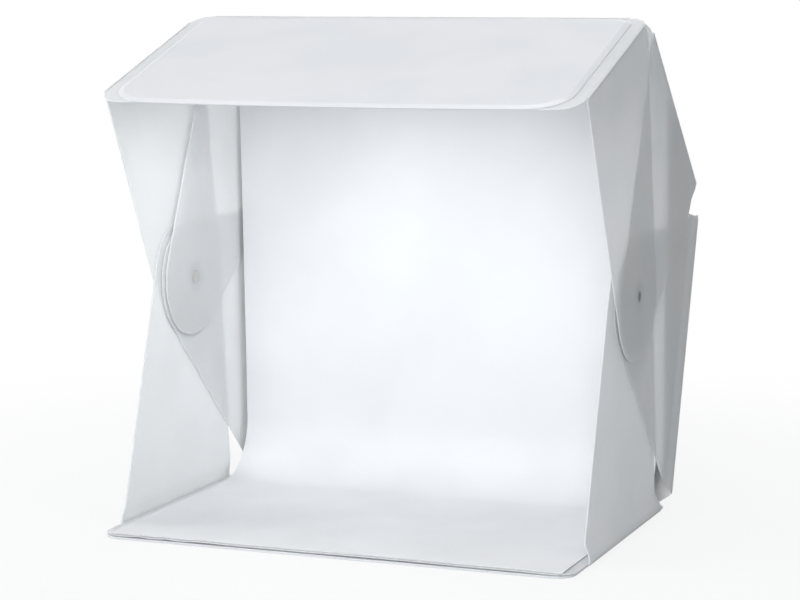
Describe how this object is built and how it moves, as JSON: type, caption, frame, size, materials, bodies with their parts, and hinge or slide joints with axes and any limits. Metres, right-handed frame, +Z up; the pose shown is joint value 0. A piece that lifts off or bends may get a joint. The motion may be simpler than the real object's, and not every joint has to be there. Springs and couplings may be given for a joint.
{
  "type": "folding light tent",
  "caption": "Folding photo light tent of white sheet with side flaps held by magnets, LED bars under the roof and a swept backdrop.",
  "frame": {"origin": "middle of the base's underside, at half its width and half its depth", "axes": "+X to the tent's right as the camera looks in, +Y to its back, +Z up"},
  "size_m": [0.64, 0.5906, 0.6618],
  "materials": {
    "folding_sheet": "translucent white polypropylene sheet, finely pebbled",
    "stiffening_board": "white polypropylene board, satin",
    "backdrop_sheet": "smooth matt white sheet",
    "magnet": "nickel plated",
    "grip_strip": "white woven hook and loop strip",
    "aluminium": "clear anodised extrusion",
    "led_board": "white solder mask with LED chips",
    "bar_cap": "moulded grey ABS",
    "lead": "grey PVC",
    "inlet": "moulded black nylon"
  },
  "bodies": {
    "base": {"base_sheet": "folding_sheet", "base_board": "stiffening_board"},
    "lower_back": {"lower_back_sheet": "folding_sheet", "lower_back_board": "stiffening_board"},
    "rear_roof": {"rear_roof_sheet": "folding_sheet", "rear_roof_board": "stiffening_board", "hook_strip": "grip_strip"},
    "front_roof": {"front_roof_sheet": "folding_sheet", "front_roof_board": "stiffening_board", "front_led_bar_channel": "aluminium", "front_led_bar_strip": "led_board", "front_led_bar_pad": "grip_strip", "front_led_bar_left_cap": "bar_cap", "front_led_bar_right_cap": "bar_cap", "rear_led_bar_channel": "aluminium", "rear_led_bar_strip": "led_board", "rear_led_bar_pad": "grip_strip", "rear_led_bar_left_cap": "bar_cap", "rear_led_bar_right_cap": "bar_cap", "led_link_lead": "lead", "power_inlet": "inlet", "power_inlet_pin": "magnet"},
    "left_base_flap": {"left_base_flap": "folding_sheet", "left_base_magnet": "magnet"},
    "right_base_flap": {"right_base_flap": "folding_sheet", "right_base_magnet": "magnet"},
    "left_lower_back_flap": {"left_lower_back_flap": "folding_sheet", "left_lower_back_magnet": "magnet"},
    "right_lower_back_flap": {"right_lower_back_flap": "folding_sheet", "right_lower_back_magnet": "magnet"},
    "left_rear_roof_flap": {"left_rear_roof_flap": "folding_sheet", "left_rear_roof_magnet": "magnet"},
    "right_rear_roof_flap": {"right_rear_roof_flap": "folding_sheet", "right_rear_roof_magnet": "magnet"},
    "left_front_roof_flap": {"left_front_roof_flap": "folding_sheet", "left_front_roof_magnet": "magnet"},
    "right_front_roof_flap": {"right_front_roof_flap": "folding_sheet", "right_front_roof_magnet": "magnet"},
    "backdrop": {"backdrop": "backdrop_sheet", "loop_strip": "grip_strip"}
  },
  "joints": [
    {"name": "back_crease", "type": "hinge", "parent": "base", "child": "lower_back", "pos_m": [0, 0.2265, 0.0045], "axis": [-1, 0, 0], "range_deg": [0, 71.4]},
    {"name": "rear_roof_crease", "type": "hinge", "parent": "lower_back", "child": "rear_roof", "pos_m": [0, 0.36301, 0.41014], "axis": [-1, 0, 0], "range_deg": [0, 66.4]},
    {"name": "ridge_crease", "type": "hinge", "parent": "rear_roof", "child": "front_roof", "pos_m": [0, 0.08669, 0.6607], "axis": [-1, 0, 0], "range_deg": [0, 60.7]},
    {"name": "right_front_roof_flap_crease", "type": "hinge", "parent": "front_roof", "child": "right_front_roof_flap", "pos_m": [0.3188, 0.08669, 0.6607], "axis": [0, -0.9483, -0.3173], "range_deg": [0, 90]},
    {"name": "right_rear_roof_flap_crease", "type": "hinge", "parent": "rear_roof", "child": "right_rear_roof_flap", "pos_m": [0.3188, 0.36301, 0.41014], "axis": [0, -0.7408, 0.6717], "range_deg": [0, 70.2]},
    {"name": "right_base_flap_crease", "type": "hinge", "parent": "base", "child": "right_base_flap", "pos_m": [0.3188, -0.2265, 0.0045], "axis": [0, 1, 0], "range_deg": [0, 25.2]},
    {"name": "right_lower_back_flap_crease", "type": "hinge", "parent": "lower_back", "child": "right_lower_back_flap", "pos_m": [0.3188, 0.2265, 0.0045], "axis": [0, 0.319, 0.9478], "range_deg": [0, 50.4]},
    {"name": "left_front_roof_flap_crease", "type": "hinge", "parent": "front_roof", "child": "left_front_roof_flap", "pos_m": [-0.3188, 0.08669, 0.6607], "axis": [0, 0.9483, 0.3173], "range_deg": [0, 90]},
    {"name": "left_rear_roof_flap_crease", "type": "hinge", "parent": "rear_roof", "child": "left_rear_roof_flap", "pos_m": [-0.3188, 0.36301, 0.41014], "axis": [0, 0.7408, -0.6717], "range_deg": [0, 18]},
    {"name": "left_base_flap_crease", "type": "hinge", "parent": "base", "child": "left_base_flap", "pos_m": [-0.3188, -0.2265, 0.0045], "axis": [0, -1, 0], "range_deg": [0, 48.6]},
    {"name": "left_lower_back_flap_crease", "type": "hinge", "parent": "lower_back", "child": "left_lower_back_flap", "pos_m": [-0.3188, 0.2265, 0.0045], "axis": [0, -0.319, -0.9478], "range_deg": [0, 34.2]},
    {"name": "backdrop_slide", "type": "slide", "parent": "base", "child": "backdrop", "axis": [0, -1, 0], "range_m": [0, 0.23]}
  ],
  "couplings": [
    {"joint": "right_rear_roof_flap_crease", "follows": "right_front_roof_flap_crease", "ratio": 0.78},
    {"joint": "right_base_flap_crease", "follows": "right_front_roof_flap_crease", "ratio": 0.28},
    {"joint": "right_lower_back_flap_crease", "follows": "right_front_roof_flap_crease", "ratio": 0.56},
    {"joint": "left_rear_roof_flap_crease", "follows": "left_front_roof_flap_crease", "ratio": 0.2},
    {"joint": "left_base_flap_crease", "follows": "left_front_roof_flap_crease", "ratio": 0.54},
    {"joint": "left_lower_back_flap_crease", "follows": "left_front_roof_flap_crease", "ratio": 0.38}
  ]
}
